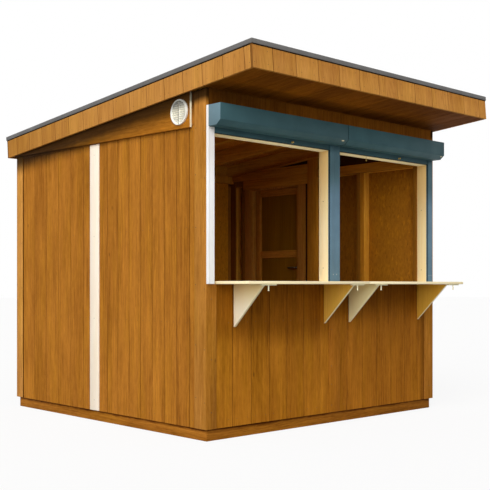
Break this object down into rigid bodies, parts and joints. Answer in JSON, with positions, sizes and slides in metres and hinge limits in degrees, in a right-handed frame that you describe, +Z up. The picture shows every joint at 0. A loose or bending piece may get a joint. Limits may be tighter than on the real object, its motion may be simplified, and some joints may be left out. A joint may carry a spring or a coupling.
{
  "type": "wooden sales kiosk",
  "caption": "Square wooden sales kiosk with a sloping roof that overhangs the front, shuttered hatches over a bracketed counter, and a hinged side door.",
  "frame": {"origin": "on the ground in the middle of the walls' plan, under the centre joist of the base frame", "axes": "+Z up, +Y from the front with the hatches to the rear, +X to the right as seen from the front"},
  "size_m": [2.5934, 3.0955, 2.5539],
  "materials": {
    "stained_board": "brown stained grooved board, satin",
    "framing_timber": "brown stained sawn timber, matt",
    "unpainted_board": "bare planed pine, matt",
    "floor_board": "bare strand board, matt",
    "roof_membrane": "black roofing sheet, matt",
    "edge_trim_metal": "grey coated folded sheet, satin",
    "shutter_blue_metal": "grey-blue coated aluminium, satin",
    "rail_white_metal": "white coated aluminium, satin",
    "vent_plastic": "white plastic, matt",
    "door_ironwork": "brushed steel"
  },
  "bodies": {
    "kiosk": {"base_frame": "stained_board", "left_wall_front": "stained_board", "left_wall_rear": "stained_board", "left_gable_board": "stained_board", "left_gable_backing": "stained_board", "right_wall_front": "stained_board", "right_wall_rear": "stained_board", "right_gable_board": "stained_board", "right_gable_backing": "stained_board", "rear_wall_left": "stained_board", "rear_wall_right": "stained_board", "front_wall_left": "stained_board", "front_wall_right": "stained_board", "front_cover_board": "stained_board", "front_header": "stained_board", "corner_front_left": "stained_board", "corner_front_right": "stained_board", "corner_rear_left": "stained_board", "corner_rear_right": "stained_board", "fascia_front": "stained_board", "fascia_rear": "stained_board", "fascia_left": "stained_board", "fascia_right": "stained_board", "front_soffit": "stained_board", "door_frame": "stained_board", "left_wall_frame": "framing_timber", "right_frame_front": "framing_timber", "right_frame_rear": "framing_timber", "rear_wall_frame": "framing_timber", "front_wall_frame": "framing_timber", "roof_frame": "framing_timber", "left_joint_board": "unpainted_board", "right_joint_board": "unpainted_board", "rear_joint_board": "unpainted_board", "hatch_frame": "unpainted_board", "counter_left": "unpainted_board", "counter_right": "unpainted_board", "floor_deck": "floor_board", "roof_deck": "floor_board", "roof_cover": "roof_membrane", "roof_edge_trim": "edge_trim_metal", "shutter_box_left": "shutter_blue_metal", "shutter_box_right": "shutter_blue_metal", "guide_rail_centre": "shutter_blue_metal", "guide_rail_right": "shutter_blue_metal", "shutter_bar_left": "shutter_blue_metal", "shutter_bar_right": "shutter_blue_metal", "guide_rail_left": "rail_white_metal", "left_gable_vent": "vent_plastic"},
    "door": {"door_leaf": "stained_board", "door_handle_outer": "door_ironwork", "door_handle_inner": "door_ironwork", "door_hinge_lower": "door_ironwork", "door_hinge_upper": "door_ironwork"},
    "bracket_1": {"bracket_1": "unpainted_board"},
    "bracket_2": {"bracket_2": "unpainted_board"},
    "bracket_3": {"bracket_3": "unpainted_board"},
    "bracket_4": {"bracket_4": "unpainted_board"}
  },
  "joints": [
    {"name": "door_hinge", "type": "hinge", "parent": "kiosk", "child": "door", "pos_m": [1.2568, 0.8825, 1.04], "axis": [0, 0, 1], "range_deg": [0, 110]},
    {"name": "bracket_1_swing", "type": "hinge", "parent": "kiosk", "child": "bracket_1", "pos_m": [-0.991, -1.251, 0.9], "axis": [0, 0, 1], "range_deg": [0, 88]},
    {"name": "bracket_2_swing", "type": "hinge", "parent": "kiosk", "child": "bracket_2", "pos_m": [-0.11, -1.251, 0.9], "axis": [0, 0, 1], "range_deg": [-88, 0]},
    {"name": "bracket_3_swing", "type": "hinge", "parent": "kiosk", "child": "bracket_3", "pos_m": [0.188, -1.251, 0.9], "axis": [0, 0, 1], "range_deg": [0, 88]},
    {"name": "bracket_4_swing", "type": "hinge", "parent": "kiosk", "child": "bracket_4", "pos_m": [1.028, -1.251, 0.9], "axis": [0, 0, 1], "range_deg": [-88, 0]}
  ]
}
